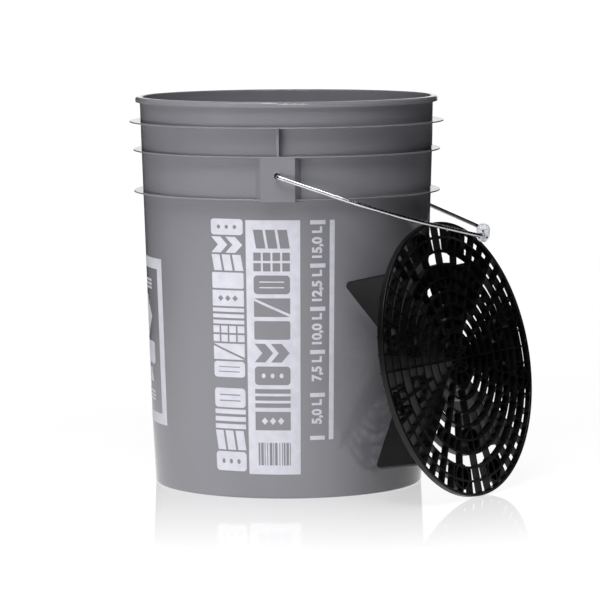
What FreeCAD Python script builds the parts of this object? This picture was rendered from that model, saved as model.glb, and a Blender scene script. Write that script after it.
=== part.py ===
"""Wash bucket: a 20 litre pail with a wire bail, a roller grip and a leaning grit guard.

Millimetres, +Z up. The origin is on the floor at the middle of the pail's foot. The bail's hinge axis
runs along Y through the two ears, and the ear at -Y is the front one. The bail hangs towards +X, where
its grip rests on the rim of the grit guard, and the guard leans on the pail with the tips of its vanes.
"""
import FreeCAD, Part
import os
from math import cos, pi, radians, sin, tan

Vector = FreeCAD.Vector
X_AXIS = Vector(1, 0, 0)
Y_AXIS = Vector(0, 1, 0)
Z_AXIS = Vector(0, 0, 1)
ORIGIN = Vector(0, 0, 0)

# Pail: outer radii of the tapering wall, and the parts that stand out from it
HEIGHT = 380.0
FOOT_R = 131.3
TAPER_CHANGE_Z = 65.0
TAPER_CHANGE_R = 134.4
WALL_TOP_R = 144.4
WALL = 2.3
FLOOR_UNDERSIDE_Z = 6.5
FLOOR_TOP_Z = 9.0
FOOT_WIDTH = 2.6
RIM_R = 148.5
RIM_DEPTH = 5.4
FLANGE = 2.4
FLANGE_TIP = 1.3
FLANGES = ((354.0, 154.4), (326.3, 150.8), (286.0, 150.5))
FLOOR_BLEND_R = 7.0

# Ears: hollow blocks between the second and third flanges that hold the bail
HINGE_Z = 310.0
EAR_FACE_Y = 151.0
EAR_FACE_HALF_WIDTH = 16.3
EAR_ROOT_HALF_WIDTH = 22.5
EAR_ROOT_Y = 138.0
EAR_SKIN = 2.4
EAR_HOLE_R = 3.0
EAR_HOLE_SHIFT = 0.5
EAR_RING_R = 4.5
EAR_RING_PROUD = 0.8
EAR_RING_EDGE_R = 0.6
POCKET_TOP_GAP = 1.5
RIB_WIDTH = 2.5
RIB_INSET = 0.4
CORE_MARGIN = 5.0
CUT_MARGIN = 2.0

# Bail: round wire, drawn in its own plane with u out from the hinge axis and y along the axis
WIRE_R = 2.0
BAIL_DROOP = 18.7
BAIL_REACH = 203.6
BAIL_HALF_WIDTH = 157.3
SIDE_BEND_START = 60.0
SIDE_BEND_R = 111.4
SIDE_BEND_ANGLE = 50.3
GRIP_BEND_R = 47.4
EAR_BEND_R = 4.2
HOOK_BEND_R = 3.2
HOOK_LEG_Y = 145.3
HOOK_LEG_LENGTH = 8.0

# Grip: a roller that turns freely on the straight middle of the bail
GRIP_LENGTH = 66.0
GRIP_R = 6.75
GRIP_WAIST_R = 5.9
GRIP_COLLAR = 5.0
GRIP_BORE_R = 2.3
GRIP_CORE_R = 1.1
GRIP_CORE_OFFSET = 4.2
GRIP_CORE_DEPTH = 9.0
GRIP_CORE_ANGLES = (90.0, 210.0, 330.0)

# Grit guard: a round grille with four vanes behind it, standing on edge and leaning back
GUARD_R = 133.0
GUARD_RIM_WIDTH = 3.2
GUARD_RIM_DEPTH = 6.0
GUARD_RIM_EDGE_R = 0.7
GUARD_AZIMUTH = -30.2
GUARD_TILT = 11.3
GUARD_DISTANCE = 197.3
GRILLE_RECESS = 0.4
GRILLE_DEPTH = 7.0
RING_PITCH = 13.15
FIRST_RING = 1
LAST_RING = 9
RING_THICKNESS = 2.3
RIB_THICKNESS = 1.8
SPOKE_STEP = 15.0
SHORT_SPOKE_RING = 4
HALF_SPOKE_GAPS = ((6, 7), (8, 9), (9, 10))
CORE_R = 5.0
CUP_R = 12.5
CUP_FLOOR = 1.4
HUB_CUP_AT = 18.0
MID_CUP_AT = 80.0
EDGE_CUP_AT = 115.0
CUP_SPREAD = 15.0
VANE_REACH = 126.0
VANE_DEPTH = 57.5
VANE_THICKNESS = 2.6
VANE_DRAFT = 2.0
FULL_VANE_ANGLE = 135.0
UPPER_VANE_ANGLE = 45.0
VANE_TIP_R = 6.0

# Printed areas: thin films of ink on the pail, as heights and as angles counted from the front ear
INK = 0.15
SLOGAN_ANGLES = (-27.8, -14.2)
SHORT_WORD_Z = 26.0
SHORT_WORD_COUNT = 4
SHORT_WORD_PITCH = 20.5
LONG_WORD_Z = 116.7
LONG_WORD_COUNT = 9
LONG_WORD_PITCH = 17.1
BLOCK_GAP = 1.8
PANEL_ANGLES = (-13.1, 8.3)
PANEL_HEIGHTS = (23.7, 268.0)
CUTOUT_ANGLES = (-10.1, 4.3)
CUTOUT_Z = 66.5
CUTOUT_COUNT = 9
CUTOUT_PITCH = 21.8
CUTOUT_GAP = 3.6
CODE_ANGLES = (-9.0, 4.2)
CODE_HEIGHTS = (32.6, 54.5)
CODE_BAR_COUNT = 14
CODE_BAR_FILL = 0.5
SCALE_TICK_ANGLES = (12.2, 18.3)
SCALE_BAR_ANGLES = (20.0, 22.0)
SCALE_HEIGHTS = (56.8, 267.8)
TICK_HEIGHT = 4.0
TICK_COUNT = 6
FRAME_ANGLES = (-122.0, -58.0)
FRAME_HEIGHTS = (62.2, 225.0)
FRAME_BAR = 10.0
FRAME_BAR_ANGLE = 4.5


def outline(corners):
    """Closed wire through (x, y, corner radius) points, as straight lines and tangent arcs."""
    points = [Vector(x, y, 0) for x, y, _ in corners]
    count = len(points)
    legs = []
    for i in range(count):
        to_last = (points[i - 1] - points[i]).normalize()
        to_next = (points[(i + 1) % count] - points[i]).normalize()
        legs.append(round_corner(points[i], to_last, to_next, corners[i][2]))
    edges = []
    for i in range(count):
        start, middle, end = legs[i]
        if middle is not None:
            edges.append(Part.Arc(start, middle, end).toShape())
        following = legs[(i + 1) % count][0]
        if end.distanceToPoint(following) > 1e-6:
            edges.append(Part.LineSegment(end, following).toShape())
    return Part.Wire(edges)


def round_corner(point, to_last, to_next, radius):
    """Start, middle and end of the arc that rounds a corner; a sharp corner has no middle."""
    if radius == 0:
        return point, None, point
    half = to_last.getAngle(to_next) / 2
    back = radius / tan(half)
    bisector = (to_last + to_next).normalize()
    centre = point + bisector * (radius / sin(half))
    return point + to_last * back, centre - bisector * radius, point + to_next * back


def turned(corners, angle=360.0, start=0.0):
    """Solid of revolution about Z from (radius, height, corner radius) points."""
    face = Part.Face(outline(corners))
    face.rotate(ORIGIN, X_AXIS, 90)
    solid = face.revolve(ORIGIN, Z_AXIS, angle)
    solid.rotate(ORIGIN, Z_AXIS, start)
    return solid


def box(low, high):
    """Box between two corner points."""
    size = Vector(*high) - Vector(*low)
    return Part.makeBox(size.x, size.y, size.z, Vector(*low))


def wall_r(z):
    """Outer radius of the pail's wall at height z."""
    if z < TAPER_CHANGE_Z:
        return FOOT_R + (TAPER_CHANGE_R - FOOT_R) * z / TAPER_CHANGE_Z
    return TAPER_CHANGE_R + (WALL_TOP_R - TAPER_CHANGE_R) * (z - TAPER_CHANGE_Z) / (HEIGHT - TAPER_CHANGE_Z)


# ---------------------------------------------------------------- pail

def shell_profile():
    """Half section of the pail, from the foot up the outside and down the inside."""
    outside = [(FOOT_R, 0, 2.0), (TAPER_CHANGE_R, TAPER_CHANGE_Z, 0)]
    for z, radius in reversed(FLANGES):
        outside += [
            (wall_r(z), z, 0),
            (radius, z + FLANGE - FLANGE_TIP, 0.4),
            (radius, z + FLANGE, 0.5),
            (wall_r(z + FLANGE), z + FLANGE, 0),
        ]
    rim_z = HEIGHT - RIM_DEPTH
    rim = [
        (wall_r(rim_z), rim_z, 0),
        (RIM_R, rim_z, 1.0),
        (RIM_R, HEIGHT, 2.4),
        (WALL_TOP_R - WALL, HEIGHT, 1.4),
    ]
    inside = [
        (TAPER_CHANGE_R - WALL, TAPER_CHANGE_Z, 0),
        (wall_r(FLOOR_TOP_Z) - WALL, FLOOR_TOP_Z, FLOOR_BLEND_R),
        (0, FLOOR_TOP_Z, 0),
        (0, FLOOR_UNDERSIDE_Z, 0),
        (wall_r(FLOOR_UNDERSIDE_Z) - FOOT_WIDTH, FLOOR_UNDERSIDE_Z, 0),
        (FOOT_R - FOOT_WIDTH, 0, 0),
    ]
    return outside + rim + inside


def ear_block(half_face, half_root, face_y, low, high):
    """Block with a flat face and splayed sides, standing out of the wall at -Y."""
    wire = Part.makePolygon([
        Vector(-half_root, -EAR_ROOT_Y, low),
        Vector(-half_face, -face_y, low),
        Vector(half_face, -face_y, low),
        Vector(half_root, -EAR_ROOT_Y, low),
        Vector(-half_root, -EAR_ROOT_Y, low),
    ])
    return Part.Face(wire).extrude(Vector(0, 0, high - low))


def front_ear():
    """Ear with its pocket, wire hole, hole ring and the rib above it."""
    third_z = FLANGES[2][0]
    second_z = FLANGES[1][0]
    block = ear_block(EAR_FACE_HALF_WIDTH, EAR_ROOT_HALF_WIDTH, EAR_FACE_Y, third_z, second_z + FLANGE / 2)
    ring = turned([
        (0, -EAR_SKIN / 2, 0),
        (EAR_RING_R, -EAR_SKIN / 2, 0),
        (EAR_RING_R, EAR_RING_PROUD, EAR_RING_EDGE_R),
        (0, EAR_RING_PROUD, 0),
    ])
    ring.rotate(ORIGIN, X_AXIS, 90)
    ring.translate(Vector(-EAR_HOLE_SHIFT, -EAR_FACE_Y, HINGE_Z + EAR_HOLE_SHIFT))
    rib_top = FLANGES[0][0] + FLANGE / 2
    rib_foot = second_z + FLANGE / 2
    rib_front = RIB_INSET - FLANGES[1][1]
    rib = box((-RIB_WIDTH / 2, rib_front, rib_foot), (RIB_WIDTH / 2, -EAR_ROOT_Y, rib_top))
    return block.fuse(ring).fuse(rib)


def ear_pocket():
    """Space behind the ear's face, open at the bottom, where the bail's hooked end turns."""
    low = FLANGES[2][0] - CUT_MARGIN
    high = FLANGES[1][0] - POCKET_TOP_GAP
    half_face = EAR_FACE_HALF_WIDTH - EAR_SKIN
    half_root = EAR_ROOT_HALF_WIDTH - EAR_SKIN
    return ear_block(half_face, half_root, EAR_FACE_Y - EAR_SKIN, low, high)


def core(inset):
    """Everything inside the wall along the height of the ears, less an inset from its outer face."""
    low = FLANGES[2][0] - CORE_MARGIN
    high = FLANGES[0][0] + CORE_MARGIN
    return turned([(0, low, 0), (wall_r(low) - inset, low, 0), (wall_r(high) - inset, high, 0), (0, high, 0)])


def bucket_shell():
    """The whole pail moulding: wall, floor, foot, rim, flanges, ears and ribs."""
    hole_start = Vector(-EAR_HOLE_SHIFT, -EAR_FACE_Y - CUT_MARGIN, HINGE_Z + EAR_HOLE_SHIFT)
    hole = Part.makeCylinder(EAR_HOLE_R, 2 * CUT_MARGIN + EAR_SKIN, hole_start, Y_AXIS)
    front = (front_ear().cut(core(WALL / 2)), ear_pocket().cut(core(0)), hole)
    back = [piece.mirror(ORIGIN, Y_AXIS) for piece in front]
    shell = turned(shell_profile())
    for ear, pocket, opening in (front, back):
        shell = shell.fuse(ear).cut(pocket).cut(opening)
    return shell.removeSplitter()


# ---------------------------------------------------------------- printed areas

def film(heights, angles):
    """Sheet of ink on the wall between two heights and two angles, counted from the front ear."""
    low, high = heights
    levels = [low] + [TAPER_CHANGE_Z] * (low < TAPER_CHANGE_Z < high) + [high]
    skin = [(wall_r(z), z, 0) for z in levels]
    outer = [(wall_r(z) + INK, z, 0) for z in reversed(levels)]
    return turned(skin + outer, angles[1] - angles[0], angles[0] - 90)


def column(start, count, pitch, gap, angles):
    """Blocks of film one above the other, as long as the pitch less the gap between them."""
    return [film((start + i * pitch, start + (i + 1) * pitch - gap), angles) for i in range(count)]


def slogan_print():
    """Side print: a short word below a long one, each as a column of blocks."""
    short = column(SHORT_WORD_Z, SHORT_WORD_COUNT, SHORT_WORD_PITCH, BLOCK_GAP, SLOGAN_ANGLES)
    long = column(LONG_WORD_Z, LONG_WORD_COUNT, LONG_WORD_PITCH, BLOCK_GAP, SLOGAN_ANGLES)
    return Part.makeCompound(short + long)


def panel_print():
    """Light panel beside the slogan, with a word of blocks and a row of code bars left open in it."""
    openings = column(CUTOUT_Z, CUTOUT_COUNT, CUTOUT_PITCH, CUTOUT_GAP, CUTOUT_ANGLES)
    step = (CODE_ANGLES[1] - CODE_ANGLES[0]) / CODE_BAR_COUNT
    for i in range(CODE_BAR_COUNT):
        start = CODE_ANGLES[0] + i * step
        openings.append(film(CODE_HEIGHTS, (start, start + step * CODE_BAR_FILL)))
    return film(PANEL_HEIGHTS, PANEL_ANGLES).cut(Part.makeCompound(openings))


def scale_print():
    """Volume scale: an upright bar and a tick for every 2.5 litres."""
    low, high = SCALE_HEIGHTS
    pieces = [film(SCALE_HEIGHTS, SCALE_BAR_ANGLES)]
    for i in range(TICK_COUNT):
        z = low + (high - low - TICK_HEIGHT) * i / (TICK_COUNT - 1)
        pieces.append(film((z, z + TICK_HEIGHT), SCALE_TICK_ANGLES))
    return Part.makeCompound(pieces)


def frame_print():
    """Rectangular frame printed on the side of the pail."""
    low, high = FRAME_HEIGHTS
    first, last = FRAME_ANGLES
    sides = film(FRAME_HEIGHTS, (first, first + FRAME_BAR_ANGLE))
    sides = sides.fuse(film(FRAME_HEIGHTS, (last - FRAME_BAR_ANGLE, last)))
    across = film((low, low + FRAME_BAR), FRAME_ANGLES).fuse(film((high - FRAME_BAR, high), FRAME_ANGLES))
    return sides.fuse(across).removeSplitter()


# ---------------------------------------------------------------- bail and grip

def grip_half_straight():
    """Half the length of the bail's straight middle, where the side and grip bends leave it."""
    turn = radians(SIDE_BEND_ANGLE)
    side_u = SIDE_BEND_START + SIDE_BEND_R * sin(turn)
    side_y = BAIL_HALF_WIDTH - SIDE_BEND_R * (1 - cos(turn))
    grip_u = BAIL_REACH - GRIP_BEND_R * (1 - sin(turn))
    grip_y = side_y - (grip_u - side_u) * tan(turn)
    return grip_y - GRIP_BEND_R * cos(turn)


def half_bail_edges():
    """Centre line of the front half of the wire in its own plane, from the hook to the middle."""
    turn = radians(SIDE_BEND_ANGLE)
    diagonal = sin(pi / 4)
    side_centre = (SIDE_BEND_START, BAIL_HALF_WIDTH - SIDE_BEND_R)
    straight = grip_half_straight()
    grip_centre = (BAIL_REACH - GRIP_BEND_R, straight)

    def place(u, y):
        return Vector(u, -y, 0)

    def on_arc(centre, radius, angle):
        return place(centre[0] + radius * sin(angle), centre[1] + radius * cos(angle))

    hook_centre = (-HOOK_BEND_R, HOOK_LEG_Y + HOOK_BEND_R)
    leg_end = place(-HOOK_BEND_R - HOOK_LEG_LENGTH, HOOK_LEG_Y)
    hook_start = place(-HOOK_BEND_R, HOOK_LEG_Y)
    hook_middle = place(
        hook_centre[0] + HOOK_BEND_R * diagonal, hook_centre[1] - HOOK_BEND_R * diagonal
    )
    hook_end = place(0, HOOK_LEG_Y + HOOK_BEND_R)
    ear_start = place(0, BAIL_HALF_WIDTH - EAR_BEND_R)
    ear_middle = place(EAR_BEND_R * (1 - diagonal), BAIL_HALF_WIDTH - EAR_BEND_R * (1 - diagonal))
    ear_end = place(EAR_BEND_R, BAIL_HALF_WIDTH)
    side_start = place(SIDE_BEND_START, BAIL_HALF_WIDTH)
    side_middle = on_arc(side_centre, SIDE_BEND_R, turn / 2)
    side_end = on_arc(side_centre, SIDE_BEND_R, turn)
    grip_start = on_arc(grip_centre, GRIP_BEND_R, turn)
    grip_middle = on_arc(grip_centre, GRIP_BEND_R, (turn + pi / 2) / 2)
    grip_end = place(BAIL_REACH, straight)
    middle = place(BAIL_REACH, 0)
    return [
        Part.LineSegment(leg_end, hook_start).toShape(),
        Part.Arc(hook_start, hook_middle, hook_end).toShape(),
        Part.LineSegment(hook_end, ear_start).toShape(),
        Part.Arc(ear_start, ear_middle, ear_end).toShape(),
        Part.LineSegment(ear_end, side_start).toShape(),
        Part.Arc(side_start, side_middle, side_end).toShape(),
        Part.LineSegment(side_end, grip_start).toShape(),
        Part.Arc(grip_start, grip_middle, grip_end).toShape(),
        Part.LineSegment(grip_end, middle).toShape(),
    ]


def hang(shape):
    """Move a shape from the bail's own plane to the rest pose, drooping towards +X."""
    shape.rotate(ORIGIN, Y_AXIS, BAIL_DROOP)
    shape.translate(Vector(0, 0, HINGE_Z))
    return shape


def bail_wire():
    """Half the wire swept along its centre line, mirrored and joined at the middle."""
    spine = Part.Wire(half_bail_edges())
    start = spine.Edges[0]
    section = Part.Wire(Part.makeCircle(WIRE_R, start.valueAt(start.FirstParameter), X_AXIS))
    half = spine.makePipeShell([section], True, False)
    other = half.mirror(ORIGIN, Y_AXIS)
    return hang(half.fuse(other).removeSplitter())


def bail_grip():
    """Roller with a collar at each end, a bore for the wire and core holes in both ends."""
    half = GRIP_LENGTH / 2
    profile = [
        (GRIP_BORE_R, -half, 0),
        (GRIP_R, -half, 1.2),
        (GRIP_R, -half + GRIP_COLLAR, 0.6),
        (GRIP_WAIST_R, -half + GRIP_COLLAR, 0),
        (GRIP_WAIST_R, half - GRIP_COLLAR, 0),
        (GRIP_R, half - GRIP_COLLAR, 0.6),
        (GRIP_R, half, 1.2),
        (GRIP_BORE_R, half, 0),
    ]
    grip = turned(profile)
    for angle in GRIP_CORE_ANGLES:
        x = GRIP_CORE_OFFSET * cos(radians(angle))
        y = GRIP_CORE_OFFSET * sin(radians(angle))
        for z, way in ((-half, 1), (half, -1)):
            grip = grip.cut(Part.makeCylinder(GRIP_CORE_R, GRIP_CORE_DEPTH, Vector(x, y, z), Z_AXIS * way))
    grip.rotate(ORIGIN, X_AXIS, 90)
    grip.translate(Vector(BAIL_REACH, 0, 0))
    return hang(grip)


# ---------------------------------------------------------------- grit guard

def lean(shape):
    """Move a shape from the guard's own frame (face at z = 0, towards +Z) to its leaning pose."""
    tilt = radians(GUARD_TILT)
    centre_z = GUARD_R * cos(tilt) + GUARD_RIM_DEPTH * sin(tilt)
    shape.rotate(ORIGIN, Z_AXIS, 90)
    shape.rotate(ORIGIN, Y_AXIS, 90 - GUARD_TILT)
    shape.translate(Vector(GUARD_DISTANCE, 0, centre_z))
    shape.rotate(ORIGIN, Z_AXIS, GUARD_AZIMUTH)
    return shape


def disc(radius, centre=ORIGIN):
    """Flat round face."""
    return Part.Face(Part.Wire(Part.makeCircle(radius, centre)))


def flat_ring(radius, width, centre=ORIGIN):
    """Flat ring face whose middle line has the given radius."""
    return disc(radius + width / 2, centre).cut(disc(radius - width / 2, centre))


def polar(radius, angle):
    """Point in the guard's plane at an angle counted from +X."""
    return Vector(radius * cos(radians(angle)), radius * sin(radians(angle)), 0)


def flat_rib(angle, start, end):
    """Flat radial rib between two radii."""
    face = Part.makePlane(end - start, RIB_THICKNESS, Vector(start, -RIB_THICKNESS / 2, 0))
    face.rotate(ORIGIN, Z_AXIS, angle)
    return face


def spokes():
    """Radial ribs: every second one starts at the core, and short ones halve some of the outer gaps."""
    edge = GUARD_R - GUARD_RIM_WIDTH / 2
    ribs = []
    for i in range(round(360 / SPOKE_STEP)):
        angle = i * SPOKE_STEP
        start = 0 if i % 2 == 0 else SHORT_SPOKE_RING * RING_PITCH
        ribs.append(flat_rib(angle, start, edge))
        for inner, outer in HALF_SPOKE_GAPS:
            reach = min(outer * RING_PITCH, edge)
            ribs.append(flat_rib(angle + SPOKE_STEP / 2, inner * RING_PITCH, reach))
    return ribs


def cup_centres():
    """Centres of the round cups in the grille, the closed ones first and then the open ones."""
    closed = []
    for pole in (90, 270):
        closed += [polar(HUB_CUP_AT, pole), polar(MID_CUP_AT, pole)]
        closed += [polar(EDGE_CUP_AT, pole - CUP_SPREAD), polar(EDGE_CUP_AT, pole + CUP_SPREAD)]
    opened = []
    for side in (0, 180):
        for angle in (side - CUP_SPREAD, side + CUP_SPREAD):
            opened += [polar(MID_CUP_AT, angle), polar(EDGE_CUP_AT, angle)]
    return closed, opened


def grille():
    """Rings, spokes and cups, as deep as the grille."""
    closed, opened = cup_centres()
    ribs = [flat_ring(RING_PITCH * i, RING_THICKNESS) for i in range(FIRST_RING, LAST_RING + 1)]
    ribs += spokes()
    ribs += [flat_ring(CUP_R - RIB_THICKNESS / 2, RIB_THICKNESS, centre) for centre in closed + opened]
    pattern = disc(CORE_R).multiFuse(ribs).removeSplitter()
    body = pattern.extrude(Vector(0, 0, GRILLE_DEPTH))
    floors = [Part.makeCylinder(CUP_R - RIB_THICKNESS / 2, CUP_FLOOR, centre) for centre in closed]
    body = body.multiFuse(floors)
    body.translate(Vector(0, 0, -GRILLE_RECESS - GRILLE_DEPTH))
    return body


def guard_grille():
    """Rim and grille as one moulding."""
    rim = turned([
        (GUARD_R - GUARD_RIM_WIDTH, -GUARD_RIM_DEPTH, 0),
        (GUARD_R, -GUARD_RIM_DEPTH, GUARD_RIM_EDGE_R),
        (GUARD_R, 0, GUARD_RIM_EDGE_R),
        (GUARD_R - GUARD_RIM_WIDTH, 0, GUARD_RIM_EDGE_R),
    ])
    return lean(rim.fuse(grille()).removeSplitter())


def vane(tips):
    """Flat plate behind the grille in the local XZ plane, with a rounded corner at each outer tip."""
    front = -GRILLE_RECESS - GRILLE_DEPTH
    corners = [(VANE_REACH + VANE_DRAFT, front, 0), (VANE_REACH, -VANE_DEPTH, VANE_TIP_R)]
    if tips == 2:
        corners += [(-VANE_REACH, -VANE_DEPTH, VANE_TIP_R), (-VANE_REACH - VANE_DRAFT, front, 0)]
    else:
        corners += [(VANE_THICKNESS / 2, -VANE_DEPTH, 0), (VANE_THICKNESS / 2, front, 0)]
    plate = Part.Face(outline(corners)).extrude(Vector(0, 0, VANE_THICKNESS))
    plate.translate(Vector(0, 0, -VANE_THICKNESS / 2))
    plate.rotate(ORIGIN, X_AXIS, 90)
    return plate


def guard_vane(tips, angle):
    """Vane turned to its angle in the guard's plane and put in the leaning pose."""
    plate = vane(tips)
    plate.rotate(ORIGIN, Z_AXIS, angle)
    return lean(plate)


def main():
    nodes = {
        "bucket_shell": bucket_shell(),
        "slogan_print": slogan_print(),
        "panel_print": panel_print(),
        "scale_print": scale_print(),
        "frame_print": frame_print(),
        "bail_wire": bail_wire(),
        "bail_grip": bail_grip(),
        "guard_grille": guard_grille(),
        "guard_vane_full": guard_vane(2, FULL_VANE_ANGLE),
        "guard_vane_upper": guard_vane(1, UPPER_VANE_ANGLE),
        "guard_vane_lower": guard_vane(1, UPPER_VANE_ANGLE + 180),
    }
    os.makedirs("parts", exist_ok=True)
    for name, shape in nodes.items():
        shape.exportStep(f"parts/{name}.step")
        print(name, len(shape.Solids), shape.isValid(), round(shape.Volume))


main()
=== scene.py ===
"""Looks of the wash bucket: pail, prints, bail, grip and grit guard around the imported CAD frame.

Metres, +Z up, in the CAD's own frame. The pail stands on the origin with its front ear at -Y.
"""

from math import atan2, cos, hypot, pi, radians, sin

import bmesh
import bpy
from mathutils import Matrix, Vector
from mathutils.bvhtree import BVHTree

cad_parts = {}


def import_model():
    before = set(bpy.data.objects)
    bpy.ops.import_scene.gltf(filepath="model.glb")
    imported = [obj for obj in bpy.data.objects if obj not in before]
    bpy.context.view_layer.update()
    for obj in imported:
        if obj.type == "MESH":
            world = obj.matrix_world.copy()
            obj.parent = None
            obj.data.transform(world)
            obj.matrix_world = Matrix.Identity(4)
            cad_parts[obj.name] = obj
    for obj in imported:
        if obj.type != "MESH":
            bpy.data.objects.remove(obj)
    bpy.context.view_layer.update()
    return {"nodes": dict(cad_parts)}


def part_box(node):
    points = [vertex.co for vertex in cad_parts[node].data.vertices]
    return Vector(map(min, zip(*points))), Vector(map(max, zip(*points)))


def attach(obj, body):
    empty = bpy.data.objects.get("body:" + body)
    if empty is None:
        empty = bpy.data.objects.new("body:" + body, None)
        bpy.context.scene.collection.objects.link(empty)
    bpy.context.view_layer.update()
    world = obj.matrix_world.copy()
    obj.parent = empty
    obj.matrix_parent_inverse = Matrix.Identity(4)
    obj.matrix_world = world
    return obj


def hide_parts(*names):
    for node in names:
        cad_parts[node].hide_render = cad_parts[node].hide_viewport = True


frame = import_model()
NODES = frame["nodes"]
MM = 0.001

# Camera: a long lens in front of the pail, a little above its rim
CAMERA_PLACE = (0.207642, -3.557946, 0.537174)
CAMERA_AIM = (-0.05458643, 0.9934595, -0.10029225)
CAMERA_ROLL = -0.31
CAMERA_REACH = 200
LENS = 217.62

# Lights: name, degrees from the front towards +X, degrees up, distance, size, power, seen in mirrors
LIGHT_AIM = Vector((0, 0, 0.22))
LIGHTS = (
    ("key", -33, 65, 1.8, (1.0, 1.0), 8.6, True),
    ("front", 5, 58, 1.8, (1.0, 1.0), 20, True),
    ("fill", -5, 25, 2.6, (1.0, 1.0), 1.4, True),
    ("low", -34.7, -7, 1.6, (1.2, 0.8), 29, False),
    ("back", 180, 38, 2.2, (1.2, 1.0), 9, False),
)

# Studio: how bright the world and the floor look, and how strongly they light the pail
WHITE = (1, 1, 1, 1)
WORLD_SEEN = 1.05
WORLD_SOURCE = 0.0
BACKDROP_PLACE = (0, 6, 1)
BACKDROP_SIZE = (2.4, 3.0)
FLOOR_SIZE = 90
FLOOR_COLOUR = (0.8, 0.8, 0.82, 1)
FLOOR_SHADE_COLOUR = (0.2, 0.2, 0.205, 1)
FLOOR_SOURCE = 0.04
# The floor's glow to the eye is dimmer near the pail than far off: a painted shade around the pail
FLOOR_GLOW_WITH_PAINTED_SHADE = (0.87, 1.0)
FLOOR_PAINTED_SHADE_REACH = (0.5, 3.0)
# A glowing patch of floor in front of the pail that only glossy rays see: a painted reflection on the pail's
# lower wall
PAINTED_REFLECTION_PLACE = (-0.25, -0.4, 0)
PAINTED_REFLECTION_GLOW = (1.1, 0.025)
PAINTED_REFLECTION_REACH = (0.3, 1.6)
FLOOR_SHEEN = (0.36, 0.0)
FLOOR_SHEEN_REACH = (0.14, 0.47)
FLOOR_SHEEN_ROUGHNESS = 0.05

# Materials: the two tones that each varies between, and the range of its roughness
PAIL_TONES = ((0.205, 0.203, 0.222, 1), (0.232, 0.230, 0.249, 1))
PAIL_ROUGHNESS = (0.06, 0.11)
SCUFF_TONE = (0.29, 0.288, 0.305, 1)
SCUFF_STRENGTH = (0, 0.5)
INK_TONES = ((0.56, 0.56, 0.62, 1), (0.64, 0.64, 0.70, 1))
INK_ROUGHNESS = (0.38, 0.5)
ZINC_TONES = ((0.66, 0.68, 0.71, 1), (0.86, 0.87, 0.89, 1))
ZINC_ROUGHNESS = (0.16, 0.30)
GRIP_TONES = ((0.82, 0.84, 0.87, 1), (0.93, 0.94, 0.95, 1))
GRIP_ROUGHNESS = (0.22, 0.34)
GUARD_TONES = ((0.003, 0.0028, 0.003, 1), (0.006, 0.0056, 0.006, 1))
GUARD_ROUGHNESS = (0.30, 0.44)

# Shader nodes: the part of a noise's range that is spread out, and a Mix node's sockets for colours
NOISE_SPREAD = (0.3, 0.7)
SCUFF_SPREAD = (0.62, 0.8)
MIX_COLOURS = (6, 7)
MIX_RESULT = 2

# Prints: how the ink film lies on the wall, and how close points are before they count as one
WALL_CLEAR_OF_FOOT = 0.020
LEVEL_DIGITS = 4
RAY_START = 0.5
INK_PROUD = 0.14 * MM
INK_DEPTH = 0.10 * MM
WRAP_STEP = 1.5
SAME_POINT = 1e-6
ON_CUT = 1e-7

# Panel print, as shares of its width and height
CUTOUT_SIDES = (0.140, 0.813)
CUTOUT_ENDS = (0.175, 0.963)
CUTOUT_GAP = 0.016
CODE_SIDES = (0.19, 0.81)
CODE_ENDS = (0.036, 0.126)
CODE_BARS = (2, 1, 3, 1, 1, 2, 1, 2, 3, 1, 1, 1, 3, 2, 1, 2, 1, 1, 2, 1, 3, 1, 1)

# Frame print: width of its bars, and the rows inside it as shares: lower edge, upper edge, inset
FRAME_BAR = 0.0105
FRAME_ROWS = (
    (0.807, 0.868, 0.19), (0.518, 0.764, 0.19), (0.355, 0.490, 0.17), (0.245, 0.329, 0.225),
    (0.134, 0.192, 0.19),
)

# Scale print: what the labels say and how large they are
LABELS = ("5,0 L", "7,5 L", "10,0 L", "12,5 L", "15,0 L")
LABEL_HEIGHT = 0.0115
LABEL_LENGTH = 0.0300
LABEL_SHARE = 0.8
LABEL_GAP = 0.0020
LABEL_STROKE = 0.04

# Grip: a roller with two thin flanges at each end; the waist and its ribs are shares of its radius
BORE_R = 0.0023
CORE_R = 0.0012
CORE_AT = 0.0042
CORE_COUNT = 3
FLANGE_LENGTH = 0.0018
FLANGE_GAP = 0.0026
WAIST = 0.84
WAIST_RIB = 0.03
WAIST_RIBS = 4

# Steps of round shapes
CORNER_STEPS = 5
DOT_STEPS = 16
ROLLER_STEPS = 56
BORE_STEPS = 24
CORE_STEPS = 14


# ---------------------------------------------------------------- small helpers

def link(obj):
    bpy.context.scene.collection.objects.link(obj)
    return obj


def add_to(whole, part):
    """Add one bmesh to another and free it."""
    mesh = bpy.data.meshes.new("part")
    part.to_mesh(mesh)
    part.free()
    whole.from_mesh(mesh)
    bpy.data.meshes.remove(mesh)


def settle(bm):
    """Put the faces in an order that depends on their places alone, so that each run gives the same mesh."""
    centres = {face: tuple(face.calc_center_median()) for face in bm.faces}
    ranks = {face: rank for rank, face in enumerate(sorted(bm.faces, key=centres.get))}
    bm.faces.sort(key=ranks.get)


def riding_piece(name, parts, material, body, node):
    """Piece joined from bmeshes that rides a body and stands for a node."""
    whole = bmesh.new()
    for part in parts:
        add_to(whole, part)
    settle(whole)
    whole.normal_update()
    mesh = bpy.data.meshes.new(name)
    whole.to_mesh(mesh)
    whole.free()
    for face in mesh.polygons:
        face.use_smooth = False
    mesh.materials.append(material)
    piece = link(bpy.data.objects.new(name, mesh))
    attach(piece, body)
    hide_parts(node)


def dress(material, *names):
    """Give carried-over CAD nodes a material."""
    for name in names:
        mesh = NODES[name].data
        mesh.materials.clear()
        mesh.materials.append(material)


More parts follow.
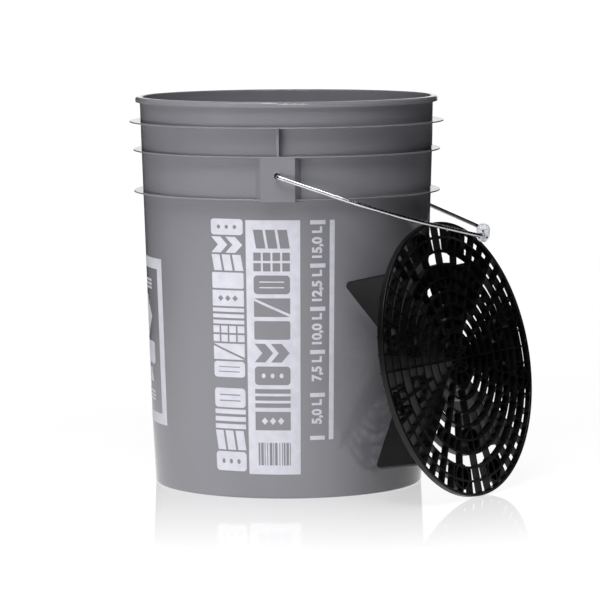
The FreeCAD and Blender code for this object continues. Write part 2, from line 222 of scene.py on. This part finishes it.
class Tree:
    """Shader tree of a material or world, with short calls to add nodes and to feed sockets."""

    def __init__(self, holder):
        holder.use_nodes = True
        self.tree = holder.node_tree

    def feed(self, value, socket):
        """Link an output to a socket, or set the socket's constant value."""
        if isinstance(value, bpy.types.NodeSocket):
            self.tree.links.new(value, socket)
        else:
            socket.default_value = value

    def feed_named(self, node, values):
        """Feed sockets by their names, written with _ for a space."""
        for name, value in values.items():
            self.feed(value, node.inputs[name.replace("_", " ")])

    def node(self, kind, **values):
        node = self.tree.nodes.new(kind)
        self.feed_named(node, values)
        return node

    def place(self):
        """The shaded point in object coordinates."""
        return self.node("ShaderNodeTexCoord").outputs["Object"]

    def ramp(self, value, ends, results):
        """Value mapped from one range to another and clamped."""
        node = self.node(
            "ShaderNodeMapRange", Value=value,
            From_Min=ends[0], From_Max=ends[1], To_Min=results[0], To_Max=results[1],
        )
        return node.outputs["Result"]


# ---------------------------------------------------------------- materials

class Shader(Tree):
    """A material with one Principled shader."""

    def __init__(self, name, **values):
        self.material = bpy.data.materials.new(name)
        super().__init__(self.material)
        self.base = self.tree.nodes["Principled BSDF"]
        self.set(**values)

    def set(self, **values):
        self.feed_named(self.base, values)

    def noise(self, scale, detail, stretch=(1, 1, 1), roughness=0.5):
        """Noise, with its coordinates stretched by a factor on each axis."""
        place = self.node("ShaderNodeMapping", Vector=self.place(), Scale=stretch).outputs["Vector"]
        node = self.node("ShaderNodeTexNoise", Vector=place, Scale=scale, Detail=detail, Roughness=roughness)
        return node.outputs["Fac"]

    def mix(self, fac, first, second):
        """Colour between two colours."""
        node = self.node("ShaderNodeMix")
        node.data_type = "RGBA"
        self.feed(fac, node.inputs["Factor"])
        self.feed(first, node.inputs[MIX_COLOURS[0]])
        self.feed(second, node.inputs[MIX_COLOURS[1]])
        return node.outputs[MIX_RESULT]

    def tone(self, noise, tones):
        return self.mix(self.ramp(noise, NOISE_SPREAD, (0, 1)), *tones)

    def gloss(self, noise, limits):
        self.set(Roughness=self.ramp(noise, NOISE_SPREAD, limits))

    def bump(self, heights, distance, strength):
        """Bump from one or more (height socket, share) pairs."""
        total = 0
        for height, share in heights:
            node = self.node("ShaderNodeMath")
            node.operation = "MULTIPLY_ADD"
            for value, socket in zip((height, share, total), node.inputs):
                self.feed(value, socket)
            total = node.outputs["Value"]
        bump = self.node("ShaderNodeBump", Distance=distance, Strength=strength, Height=total)
        self.set(Normal=bump.outputs["Normal"])


def pail_plastic():
    """Grey moulded polyethylene: semi-gloss, faint flow clouds, fine grain and a few handling scuffs."""
    s = Shader("pail_plastic", IOR=1.5, Specular_IOR_Level=0.55)
    clouds = s.noise(scale=9, detail=3, stretch=(1, 1, 0.35))
    grain = s.noise(scale=900, detail=2)
    scuffs = s.noise(scale=60, detail=6, stretch=(1, 1, 7), roughness=0.65)
    scuffed = s.ramp(scuffs, SCUFF_SPREAD, SCUFF_STRENGTH)
    s.set(Base_Color=s.mix(scuffed, s.tone(clouds, PAIL_TONES), SCUFF_TONE))
    s.gloss(s.noise(scale=35, detail=4), PAIL_ROUGHNESS)
    s.bump([(grain, 0.25), (clouds, 1.0), (scuffs, 0.12)], distance=0.3 * MM, strength=0.4)
    return s.material


def print_ink():
    """Pale screen-print ink, a little uneven where the mesh laid it down."""
    s = Shader("print_ink", IOR=1.45, Specular_IOR_Level=0.35)
    weave = s.noise(scale=1400, detail=1)
    cover = s.noise(scale=120, detail=4)
    s.set(Base_Color=s.tone(cover, INK_TONES))
    s.gloss(cover, INK_ROUGHNESS)
    s.bump([(weave, 1.0)], distance=0.04 * MM, strength=0.5)
    return s.material


def zinc_wire():
    """Bright zinc plate on drawn wire: fine streaks and slight clouding."""
    s = Shader("zinc_wire", Metallic=1.0)
    streaks = s.noise(scale=700, detail=3, stretch=(0.12, 1, 1))
    clouds = s.noise(scale=70, detail=4)
    s.set(Base_Color=s.tone(clouds, ZINC_TONES))
    s.gloss(streaks, ZINC_ROUGHNESS)
    s.bump([(streaks, 1.0), (clouds, 0.4)], distance=0.06 * MM, strength=0.6)
    return s.material


def grip_plastic():
    """Milky translucent plastic with faint flow marks."""
    s = Shader("grip_plastic", IOR=1.49, Subsurface_Weight=0.08, Subsurface_Scale=2 * MM, Coat_Weight=0.5)
    flow = s.noise(scale=160, detail=3, stretch=(1, 0.2, 1))
    s.set(Base_Color=s.tone(flow, GRIP_TONES))
    s.gloss(flow, GRIP_ROUGHNESS)
    s.bump([(flow, 1.0)], distance=0.08 * MM, strength=0.5)
    return s.material


def guard_plastic():
    """Black satin polypropylene with a fine moulded grain."""
    s = Shader("guard_plastic", IOR=1.5, Specular_IOR_Level=0.3)
    grain = s.noise(scale=1100, detail=2)
    wear = s.noise(scale=45, detail=5)
    s.set(Base_Color=s.tone(wear, GUARD_TONES))
    s.gloss(wear, GUARD_ROUGHNESS)
    s.bump([(grain, 1.0), (wear, 1.5)], distance=0.12 * MM, strength=0.5)
    return s.material


# ---------------------------------------------------------------- flat shapes

def filled(curve):
    """Bmesh of the faces that a curve encloses; the curve is removed."""
    obj = bpy.data.objects.new("filled", curve)
    mesh = bpy.data.meshes.new_from_object(obj)
    bm = bmesh.new()
    bm.from_mesh(mesh)
    bpy.data.objects.remove(obj)
    bpy.data.meshes.remove(mesh)
    bpy.data.curves.remove(curve)
    return bm


def flat_area(loops, size):
    """Bmesh of flat faces from closed loops of shares, scaled to a size; a loop inside another is a hole."""
    curve = bpy.data.curves.new("flat", "CURVE")
    curve.dimensions = "2D"
    curve.fill_mode = "BOTH"
    for loop in loops:
        spline = curve.splines.new("POLY")
        spline.points.add(len(loop) - 1)
        for point, (u, v) in zip(spline.points, loop):
            point.co = (u * size[0], v * size[1], 0, 1)
        spline.use_cyclic_u = True
    return filled(curve)


def label_area(text, length, height):
    """Bmesh of one scale label that reads upwards, centred on (0, 0)."""
    curve = bpy.data.curves.new("label", "FONT")
    curve.body = text
    curve.offset = LABEL_STROKE
    bm = filled(curve)
    xs = [v.co.x for v in bm.verts]
    ys = [v.co.y for v in bm.verts]
    wide = length / (max(xs) - min(xs))
    tall = height / (max(ys) - min(ys))
    middle_x = (max(xs) + min(xs)) / 2
    middle_y = (max(ys) + min(ys)) / 2
    for v in bm.verts:
        v.co = Vector((-(v.co.y - middle_y) * tall, (v.co.x - middle_x) * wide, 0))
    return bm


def box_loop(u0, v0, u1, v1, corner=None):
    """Rectangle as a closed loop; a corner is the width and height of its rounding."""
    if corner is None:
        return [(u0, v0), (u1, v0), (u1, v1), (u0, v1)]
    wide, high = corner
    quarters = (
        (u1 - wide, v0 + high, -90), (u1 - wide, v1 - high, 0),
        (u0 + wide, v1 - high, 90), (u0 + wide, v0 + high, 180),
    )
    loop = []
    for u, v, start in quarters:
        for i in range(CORNER_STEPS + 1):
            angle = radians(start + 90 * i / CORNER_STEPS)
            loop.append((u + wide * cos(angle), v + high * sin(angle)))
    return loop


def dot(u, v, half_u, half_v, steps=DOT_STEPS):
    """Round hole or spot."""
    turns = [2 * pi * i / steps for i in range(steps)]
    return [(u + half_u * cos(t), v + half_v * sin(t)) for t in turns]


def diamond(u, v, half_u, half_v):
    return [(u - half_u, v), (u, v - half_v), (u + half_u, v), (u, v + half_v)]


def fitted(loops, u0, v0, u1, v1):
    """Loops of the unit square moved into a rectangle."""
    return [[(u0 + u * (u1 - u0), v0 + v * (v1 - v0)) for u, v in loop] for loop in loops]


# Patterns of plain geometry that fill the unit square: u across the column, v up it
ROUND_CORNER = (0.10, 0.2)
SLIGHT_CORNER = (0.05, 0.1)
WHOLE = [box_loop(0, 0, 1, 1)]
PLAIN_BLOCK = [box_loop(0, 0, 1, 1, SLIGHT_CORNER)]
ROUND_BLOCK = [box_loop(0, 0, 1, 1, ROUND_CORNER)]
DOTTED_BLOCK = ROUND_BLOCK + [dot(u, 0.5, 0.055, 0.13) for u in (0.25, 0.5, 0.75)]
RULED_BLOCK = ROUND_BLOCK + [box_loop(0.16, v, 0.84, v + 0.06) for v in (0.32, 0.62)]
DIAMOND_BLOCK = WHOLE + [diamond(u, 0.5, 0.09, 0.2) for u in (0.27, 0.5, 0.73)]
SPLIT_BLOCK = [[(0, 0), (1, 0), (0, 0.86)], [(1, 0.14), (1, 1), (0, 1)]]
THREE_BARS = [box_loop(0, v, 1, v + 0.24) for v in (0, 0.38, 0.76)]
TILES = [box_loop(u, v, u + 0.21, v + 0.44) for u in (0, 0.263, 0.527, 0.79) for v in (0, 0.56)]
SLANTED_BARS = [[(u, 0), (u + 0.26, 0), (u + 0.18, 1), (u - 0.08, 1)] for u in (0.08, 0.41, 0.74)]
DOUBLE_ARROW = [
    [(u, 0), (u + 0.3, 0), (u + 0.52, 0.5), (u + 0.3, 1), (u, 1), (u + 0.22, 0.5)] for u in (0, 0.46)
]

# Patterns of each print, from its foot up; those of the frame run from its top down
SLOGAN_BLOCKS = (
    DOTTED_BLOCK, SLANTED_BARS, THREE_BARS, RULED_BLOCK,
    RULED_BLOCK, SPLIT_BLOCK, TILES, THREE_BARS, DIAMOND_BLOCK, PLAIN_BLOCK, SLANTED_BARS, DOUBLE_ARROW,
    DOTTED_BLOCK,
)
PANEL_BLOCKS = (
    DIAMOND_BLOCK, THREE_BARS, DOTTED_BLOCK, DOUBLE_ARROW, PLAIN_BLOCK, SPLIT_BLOCK, RULED_BLOCK, TILES,
    SLANTED_BARS,
)
FRAME_BLOCKS = (THREE_BARS, DOUBLE_ARROW, PLAIN_BLOCK, SLANTED_BARS, THREE_BARS)


# ---------------------------------------------------------------- prints

def outward(angle):
    """Direction away from the pail's axis, at an angle from the front ear."""
    return Vector((sin(angle), -cos(angle), 0))


def cut_flat(bm, place, normal):
    """Cut flat faces along one line."""
    geometry = bm.verts[:] + bm.edges[:] + bm.faces[:]
    bmesh.ops.bisect_plane(bm, geom=geometry, plane_co=place, plane_no=normal, dist=ON_CUT)


class Wall:
    """The pail's outer surface, as a place to lay ink on."""

    def __init__(self):
        mesh = NODES["bucket_shell"].data
        self.tree = BVHTree.FromPolygons([v.co for v in mesh.vertices], [p.vertices for p in mesh.polygons])
        clear = [v.co.z for v in mesh.vertices if v.co.z > WALL_CLEAR_OF_FOOT]
        self.levels = sorted({round(z, LEVEL_DIGITS) for z in clear})

    def radius(self, angle, height):
        out = outward(angle)
        hit = self.tree.ray_cast(out * RAY_START + Vector((0, 0, height)), -out)[0]
        return hypot(hit.x, hit.y)

    def cut_for_bending(self, bm, low, radius):
        """Cut flat faces upright and where the wall's taper changes, so that they can follow it."""
        step = radians(WRAP_STEP) * radius
        xs = [v.co.x for v in bm.verts]
        for i in range(int(min(xs) / step) - 1, int(max(xs) / step) + 2):
            cut_flat(bm, (i * step, 0, 0), (1, 0, 0))
        for level in self.levels:
            cut_flat(bm, (0, level - low, 0), (0, 1, 0))

    def on_wall(self, flat, first, low, radius, proud):
        """Place of a flat point, some way out from the wall."""
        angle = first + flat.x / radius
        height = low + flat.y
        return outward(angle) * (self.radius(angle, height) + proud) + Vector((0, 0, height))

    def lay(self, bm, first, low, radius):
        """Bend a flat bmesh round the wall as a thin film, with (0, 0) at an angle and a height."""
        self.cut_for_bending(bm, low, radius)
        bmesh.ops.dissolve_degenerate(bm, edges=bm.edges[:], dist=SAME_POINT)
        bmesh.ops.triangulate(bm, faces=bm.faces[:])
        under = bm.verts[:]
        result = bmesh.ops.extrude_face_region(bm, geom=bm.faces[:])
        top = [part for part in result["geom"] if isinstance(part, bmesh.types.BMVert)]
        for verts, proud in ((under, INK_PROUD - INK_DEPTH), (top, INK_PROUD)):
            for v in verts:
                v.co = self.on_wall(v.co.copy(), first, low, radius, proud)
        bmesh.ops.recalc_face_normals(bm, faces=bm.faces[:])
        return bm


class Film:
    """Angles from the front ear and heights that a print's solid covers, and its size laid flat."""

    def __init__(self, points):
        angles = [atan2(p.x, -p.y) for p in points]
        heights = [p.z for p in points]
        self.first = min(angles)
        self.last = max(angles)
        self.low = min(heights)
        self.high = max(heights)
        self.radius = WALL.radius((self.first + self.last) / 2, (self.low + self.high) / 2)
        self.width = (self.last - self.first) * self.radius
        self.height = self.high - self.low

    def printed(self, loops):
        """Bmesh of closed loops, as shares of the film's size, laid on the wall in its place."""
        return WALL.lay(flat_area(loops, (self.width, self.height)), self.first, self.low, self.radius)


def whole_film(node):
    return Film([v.co for v in NODES[node].data.vertices])


def island_of(start, left):
    """Vertices joined to one vertex, taken out of those that are left."""
    island = {start}
    frontier = [start]
    while frontier:
        for edge in frontier.pop().link_edges:
            for v in edge.verts:
                if v in left:
                    left.discard(v)
                    island.add(v)
                    frontier.append(v)
    return island


def films(node):
    """One film for each loose solid of a node, lowest first."""
    bm = bmesh.new()
    bm.from_mesh(NODES[node].data)
    bmesh.ops.remove_doubles(bm, verts=bm.verts, dist=SAME_POINT)
    left = set(bm.verts)
    found = []
    while left:
        found.append(Film([v.co for v in island_of(left.pop(), left)]))
    bm.free()
    return sorted(found, key=lambda film: (film.low, film.high))


def printed_piece(name, node, ink, parts):
    riding_piece(name, parts, ink, "pail", node)


def slogan(ink):
    """Tall column of blocks."""
    parts = [film.printed(block) for block, film in zip(SLOGAN_BLOCKS, films("slogan_print"))]
    printed_piece("slogan_blocks", "slogan_print", ink, parts)


def code_bars():
    """Holes of the bar code; every other width is a gap."""
    unit = (CODE_SIDES[1] - CODE_SIDES[0]) / sum(CODE_BARS)
    loops = []
    u = CODE_SIDES[0]
    for i, width in enumerate(CODE_BARS):
        if i % 2 == 0:
            loops.append(box_loop(u, CODE_ENDS[0], u + width * unit, CODE_ENDS[1]))
        u += width * unit
    return loops


def panel(ink):
    """Light panel with cut-out blocks and a bar code at its foot."""
    left, right = CUTOUT_SIDES
    low, high = CUTOUT_ENDS
    pitch = (high - low + CUTOUT_GAP) / len(PANEL_BLOCKS)
    loops = WHOLE + code_bars()
    for i, block in enumerate(PANEL_BLOCKS):
        start = low + i * pitch
        loops += fitted(block, left, start, right, start + pitch - CUTOUT_GAP)
    printed_piece("panel_blocks", "panel_print", ink, [whole_film("panel_print").printed(loops)])


def scale(ink):
    """Volume scale: an upright bar, ticks, and a label below each tick but the lowest."""
    films_found = films("scale_print")
    bar = max(films_found, key=lambda film: film.height)
    ticks = [film for film in films_found if film is not bar]
    parts = [film.printed(WHOLE) for film in films_found]
    for label, lower, upper in zip(LABELS, ticks, ticks[1:]):
        length = LABEL_LENGTH * LABEL_SHARE ** (len(LABELS[-1]) - len(label))
        middle = upper.low - LABEL_GAP - length / 2
        across = (lower.first + lower.last) / 2
        flat = label_area(label, length, LABEL_HEIGHT)
        parts.append(WALL.lay(flat, across, middle, WALL.radius(across, middle)))
    printed_piece("scale_marks", "scale_print", ink, parts)


def side_frame(ink):
    """Frame on the pail's left side, with blocks inside it."""
    film = whole_film("frame_print")
    bar_u = FRAME_BAR / film.width
    bar_v = FRAME_BAR / film.height
    loops = WHOLE + [box_loop(bar_u, bar_v, 1 - bar_u, 1 - bar_v)]
    for block, (bottom, top, inset) in zip(FRAME_BLOCKS, FRAME_ROWS):
        loops += fitted(block, inset, bottom, 1 - inset, top)
    printed_piece("side_frame", "frame_print", ink, [film.printed(loops)])


# ---------------------------------------------------------------- grip

def core_holes():
    """Small round holes at equal steps about the bore."""
    turns = [2 * pi * i / CORE_COUNT + pi / 2 for i in range(CORE_COUNT)]
    return [dot(CORE_AT * cos(t), CORE_AT * sin(t), CORE_R, CORE_R, CORE_STEPS) for t in turns]


def roller_slice(radius, length, cored):
    """Round slice of the roller, standing on z = 0, with its bore and, near the ends, its core holes."""
    loops = [dot(0, 0, radius, radius, ROLLER_STEPS), dot(0, 0, BORE_R, BORE_R, BORE_STEPS)]
    if cored:
        loops += core_holes()
    bm = flat_area(loops, (1, 1))
    result = bmesh.ops.extrude_face_region(bm, geom=bm.faces[:])
    for part in result["geom"]:
        if isinstance(part, bmesh.types.BMVert):
            part.co.z += length
    bmesh.ops.recalc_face_normals(bm, faces=bm.faces[:])
    return bm


def roller(material):
    """Grip as a stack of slices: two thin flanges at each end, and a ribbed waist between them."""
    low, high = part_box("bail_grip")
    length = high[1] - low[1]
    radius = (high[0] - low[0]) / 2
    end = [(radius, FLANGE_LENGTH, True), (WAIST * radius, FLANGE_GAP, True), (radius, FLANGE_LENGTH, True)]
    waist_slices = 2 * WAIST_RIBS + 1
    waist_length = (length - 2 * sum(part[1] for part in end)) / waist_slices
    waist = [((WAIST + WAIST_RIB * (i % 2)) * radius, waist_length, False) for i in range(waist_slices)]
    middle = [(a + b) / 2 for a, b in zip(low, high)]
    placed = Matrix.Translation(middle) @ Matrix.Rotation(pi / 2, 4, "X")
    parts = []
    z = -length / 2
    for part_radius, part_length, cored in end + waist + end[::-1]:
        bm = roller_slice(part_radius, part_length, cored)
        bmesh.ops.transform(bm, matrix=placed @ Matrix.Translation((0, 0, z)), verts=bm.verts[:])
        parts.append(bm)
        z += part_length
    riding_piece("bail_roller", parts, material, "grip", "bail_grip")


# ---------------------------------------------------------------- stage

class Stage(Tree):
    """Shader tree of a stage surface, or of the world when there is no surface."""

    def __init__(self, name, obj=None):
        holder = bpy.data.materials.new(name) if obj else bpy.data.worlds.new(name)
        super().__init__(holder)
        self.tree.nodes.clear()
        if obj:
            obj.name = name
            obj.data.materials.append(holder)
            self.out = self.node("ShaderNodeOutputMaterial")
        else:
            bpy.context.scene.world = holder
            self.out = self.node("ShaderNodeOutputWorld")

    def shader(self, kind, **values):
        return self.node(kind, **values).outputs[0]

    def glow(self, strength):
        return self.shader("ShaderNodeEmission", Strength=strength)

    def ray(self, kind):
        """One for rays of a kind and zero for others."""
        return self.node("ShaderNodeLightPath").outputs[kind]

    def distance(self, place):
        """Distance of the shaded point from a place."""
        node = self.node("ShaderNodeVectorMath")
        node.operation = "DISTANCE"
        self.feed(self.place(), node.inputs[0])
        self.feed(place, node.inputs[1])
        return node.outputs["Value"]

    def blend(self, fac, first, second):
        node = self.node("ShaderNodeMixShader", Fac=fac)
        self.feed(first, node.inputs[1])
        self.feed(second, node.inputs[2])
        return node.outputs[0]

    def add(self, first, second):
        node = self.node("ShaderNodeAddShader")
        self.feed(first, node.inputs[0])
        self.feed(second, node.inputs[1])
        return node.outputs[0]

    def finish(self, shader):
        self.feed(shader, self.out.inputs["Surface"])


def floor():
    """Pale floor: a white sweep to the eye that still takes shadows, with a sheen near the pail. Its glow to
    the eye is dimmer near the pail, a painted shade, and a patch of it near the pail glows only for glossy
    rays, a painted reflection on the pail.
    """
    bpy.ops.mesh.primitive_plane_add(size=FLOOR_SIZE)
    s = Stage("floor", bpy.context.object)
    away = s.distance((0, 0, 0))
    shade = s.shader("ShaderNodeBsdfDiffuse", Color=FLOOR_SHADE_COLOUR)
    # Glow to the eye, dimmer near the pail: painted shade
    seen = s.add(shade, s.glow(s.ramp(away, FLOOR_PAINTED_SHADE_REACH, FLOOR_GLOW_WITH_PAINTED_SHADE)))
    sheen = s.shader("ShaderNodeBsdfGlossy", Color=WHITE, Roughness=FLOOR_SHEEN_ROUGHNESS)
    seen_with_sheen = s.blend(s.ramp(away, FLOOR_SHEEN_REACH, FLOOR_SHEEN), seen, sheen)
    bounce = s.add(s.shader("ShaderNodeBsdfDiffuse", Color=FLOOR_COLOUR), s.glow(FLOOR_SOURCE))
    # Painted reflection: a bright patch of floor that only glossy rays see
    painted_reflection = s.glow(s.ramp(s.distance(PAINTED_REFLECTION_PLACE), PAINTED_REFLECTION_REACH, PAINTED_REFLECTION_GLOW))
    unseen = s.blend(s.ray("Is Glossy Ray"), bounce, painted_reflection)
    s.finish(s.blend(s.ray("Is Camera Ray"), unseen, seen_with_sheen))


def world():
    """White to the eye, and dark as a source of light."""
    s = Stage("studio")
    strength = s.ramp(s.ray("Is Camera Ray"), (0, 1), (WORLD_SOURCE, WORLD_SEEN))
    s.finish(s.shader("ShaderNodeBackground", Color=WHITE, Strength=strength))


def backdrop():
    """White sheet far behind the pail, which shows in the floor's sheen."""
    bpy.ops.mesh.primitive_plane_add(size=1, location=BACKDROP_PLACE, rotation=(pi / 2, 0, 0))
    bpy.context.object.scale = (*BACKDROP_SIZE, 1)
    s = Stage("backdrop", bpy.context.object)
    s.finish(s.glow(s.ramp(s.ray("Is Diffuse Ray"), (0, 1), (WORLD_SEEN, WORLD_SOURCE))))


def softbox(name, azimuth, elevation, distance, size, power, mirrored):
    """Area light aimed at the pail."""
    light = bpy.data.lights.new(name, "AREA")
    light.shape = "RECTANGLE"
    light.size, light.size_y = size
    light.energy = power
    obj = link(bpy.data.objects.new(name, light))
    rise = radians(elevation)
    place = LIGHT_AIM + distance * (outward(radians(azimuth)) * cos(rise) + Vector((0, 0, sin(rise))))
    obj.location = place
    obj.rotation_euler = (LIGHT_AIM - place).to_track_quat("-Z", "Y").to_euler()
    obj.visible_glossy = mirrored


def camera():
    data = bpy.data.cameras.new("camera")
    data.lens = LENS
    data.clip_end = CAMERA_REACH
    obj = link(bpy.data.objects.new("camera", data))
    turn = Vector(CAMERA_AIM).to_track_quat("-Z", "Y").to_matrix()
    rolled = turn @ Matrix.Rotation(radians(CAMERA_ROLL), 3, "Z")
    obj.matrix_world = Matrix.Translation(CAMERA_PLACE) @ rolled.to_4x4()
    bpy.context.scene.camera = obj


bpy.context.scene.view_settings.view_transform = "Standard"
camera()
world()
backdrop()
floor()
for light in LIGHTS:
    softbox(*light)

WALL = Wall()
dress(pail_plastic(), "bucket_shell")
dress(zinc_wire(), "bail_wire")
roller(grip_plastic())
dress(guard_plastic(), "guard_grille", "guard_vane_full", "guard_vane_upper", "guard_vane_lower")
INK = print_ink()
slogan(INK)
panel(INK)
scale(INK)
side_frame(INK)
